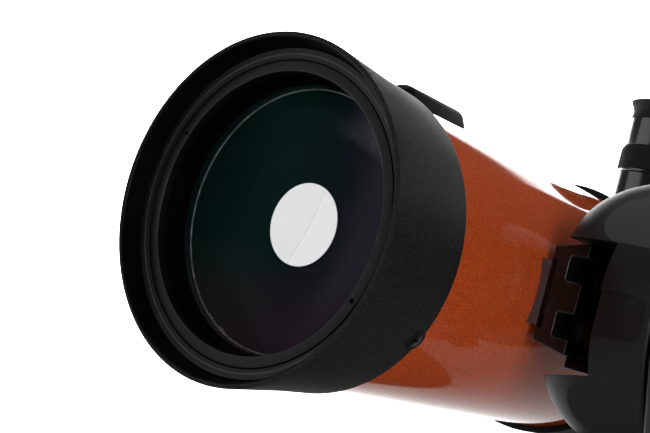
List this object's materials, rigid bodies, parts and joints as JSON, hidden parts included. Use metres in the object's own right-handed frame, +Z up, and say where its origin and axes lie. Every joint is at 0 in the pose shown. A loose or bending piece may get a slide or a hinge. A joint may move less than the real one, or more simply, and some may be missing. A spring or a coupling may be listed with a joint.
{
  "type": "maksutov cassegrain telescope",
  "caption": "Compact catadioptric telescope: deep meniscus corrector in a black cell, orange tube, dovetail bar and eyepiece, on a single-arm altazimuth mount.",
  "frame": {"origin": "centre of the base plate's underside, on the azimuth axis and at the mouth of the tripod pivot hole", "axes": "+Z up along the azimuth axis; the tube points to -Y, raised 23.16 degrees; the arm is on +X"},
  "size_m": [0.2728, 0.3696, 0.4447],
  "materials": {
    "cell_black": "fine-speckled satin powder coat",
    "tube_orange": "burnt-orange metallic gloss",
    "lens_glass": "coated optical glass",
    "mirror_coating": "aluminised",
    "optics_black": "flat black",
    "ring_black": "black anodised",
    "seat_grey": "bare machined",
    "screw_dark": "black oxide",
    "bar_anodised": "dark anodised",
    "hub_grey": "satin grey",
    "arm_charcoal": "moulded",
    "gloss_black": "gloss",
    "rubber_black": "matt",
    "barrel_chrome": "polished",
    "steel": "turned",
    "bronze": "machined",
    "nylon": "natural",
    "cell_wrap": "wrapped cell",
    "vial": "liquid vial"
  },
  "bodies": {
    "base": {"base_plate": "arm_charcoal", "azimuth_bearing": "nylon", "azimuth_spindle": "steel", "rubber_feet": "rubber_black"},
    "turntable": {"turntable_housing": "arm_charcoal", "arm_shell": "arm_charcoal", "arm_cover": "arm_charcoal", "arm_cover_screws": "screw_dark", "altitude_bearings": "bronze", "battery_holder": "arm_charcoal", "battery_cells": "cell_wrap", "socket_panel": "gloss_black", "bubble_level": "vial"},
    "battery_door": {"battery_door": "arm_charcoal"},
    "power_switch": {"power_switch": "gloss_black"},
    "hub": {"altitude_hub": "hub_grey", "altitude_shaft": "steel", "dovetail_saddle": "bar_anodised"},
    "jaw": {"saddle_jaw": "bar_anodised"},
    "clamp": {"clamp_knob": "gloss_black"},
    "tube": {"front_cell": "cell_black", "front_cell_screws": "screw_dark", "lens_retaining_ring": "ring_black", "corrector_lens": "lens_glass", "secondary_spot": "mirror_coating", "secondary_baffle": "optics_black", "lens_seat_ring": "seat_grey", "optical_tube": "tube_orange", "rear_cell": "cell_black", "rear_cell_screws": "screw_dark", "baffle_tube": "optics_black", "focus_bushing": "bronze", "rear_port": "ring_black", "eyepiece_holder": "gloss_black", "dovetail_bar": "bar_anodised", "dovetail_blocks": "ring_black", "dovetail_screws": "screw_dark", "finder_base": "gloss_black", "finder_body": "gloss_black", "finder_window": "lens_glass"},
    "mirror": {"primary_mirror": "mirror_coating", "mirror_carrier": "optics_black"},
    "focuser": {"focus_screw": "steel", "focus_knob": "rubber_black"},
    "flip": {"flip_mirror": "mirror_coating", "flip_mirror_holder": "optics_black", "flip_knob": "gloss_black"},
    "eyepiece": {"eyepiece_barrel": "barrel_chrome", "eyepiece_body": "gloss_black", "eyepiece_grip": "rubber_black", "eyecup": "rubber_black", "eye_lens": "lens_glass", "field_lens": "lens_glass"},
    "thumbscrew_1": {"eyepiece_thumbscrew_1": "screw_dark"},
    "thumbscrew_2": {"eyepiece_thumbscrew_2": "screw_dark"},
    "finder_adjuster": {"finder_knob": "gloss_black"}
  },
  "joints": [
    {"name": "azimuth_turn", "type": "hinge", "parent": "base", "child": "turntable", "pos_m": [0, 0, 0.028], "axis": [0, 0, 1], "continuous": true},
    {"name": "altitude_tilt", "type": "hinge", "parent": "turntable", "child": "hub", "pos_m": [0, 0, 0.325], "axis": [-1, 0, 0], "range_deg": [-33.16, 66.84]},
    {"name": "tube_slide", "type": "slide", "parent": "hub", "child": "tube", "axis": [0, 0.9194, -0.3933], "range_m": [-0.015, 0.015]},
    {"name": "jaw_slide", "type": "slide", "parent": "hub", "child": "jaw", "axis": [0, -0.3933, -0.9194], "range_m": [0, 0.0025]},
    {"name": "clamp_knob_turn", "type": "hinge", "parent": "jaw", "child": "clamp", "pos_m": [0.0773, -0.02045, 0.27719], "axis": [0, -0.3933, -0.9194], "range_deg": [0, 1130]},
    {"name": "focus_turn", "type": "hinge", "parent": "tube", "child": "focuser", "pos_m": [-0.038, 0.16761, 0.23372], "axis": [0, 0.9194, -0.3933], "range_deg": [-1925, 1925]},
    {"name": "mirror_slide", "type": "slide", "parent": "tube", "child": "mirror", "axis": [0, 0.9194, -0.3933], "range_m": [-0.004, 0.004]},
    {"name": "flip_turn", "type": "hinge", "parent": "tube", "child": "flip", "pos_m": [0, 0.16824, 0.26826], "axis": [-1, 0, 0], "range_deg": [0, 45]},
    {"name": "eyepiece_lift", "type": "slide", "parent": "tube", "child": "eyepiece", "axis": [0, 0.3933, 0.9194], "range_m": [0, 0.03]},
    {"name": "thumbscrew_1_turn", "type": "hinge", "parent": "tube", "child": "thumbscrew_1", "pos_m": [-0.01556, 0.19294, 0.32458], "axis": [-0.7071, 0.6501, -0.2781], "range_deg": [0, 720]},
    {"name": "thumbscrew_2_turn", "type": "hinge", "parent": "tube", "child": "thumbscrew_2", "pos_m": [0.01556, 0.19294, 0.32458], "axis": [0.7071, 0.6501, -0.2781], "range_deg": [0, 720]},
    {"name": "finder_adjuster_turn", "type": "hinge", "parent": "tube", "child": "finder_adjuster", "pos_m": [-0.04143, 0.0141, 0.37956], "axis": [-0.9063, -0.1662, -0.3886], "range_deg": [-360, 360]},
    {"name": "battery_door_lift", "type": "slide", "parent": "turntable", "child": "battery_door", "axis": [0, 0, 1], "range_m": [0, 0.015]},
    {"name": "switch_rock", "type": "hinge", "parent": "turntable", "child": "power_switch", "pos_m": [0.162, -0.028, 0.054], "axis": [0, 1, 0], "range_deg": [0, 12]}
  ],
  "couplings": [
    {"joint": "focus_turn", "follows": "mirror_slide", "rad_per_m": 8377.6},
    {"joint": "clamp_knob_turn", "follows": "jaw_slide", "rad_per_m": 7854}
  ]
}
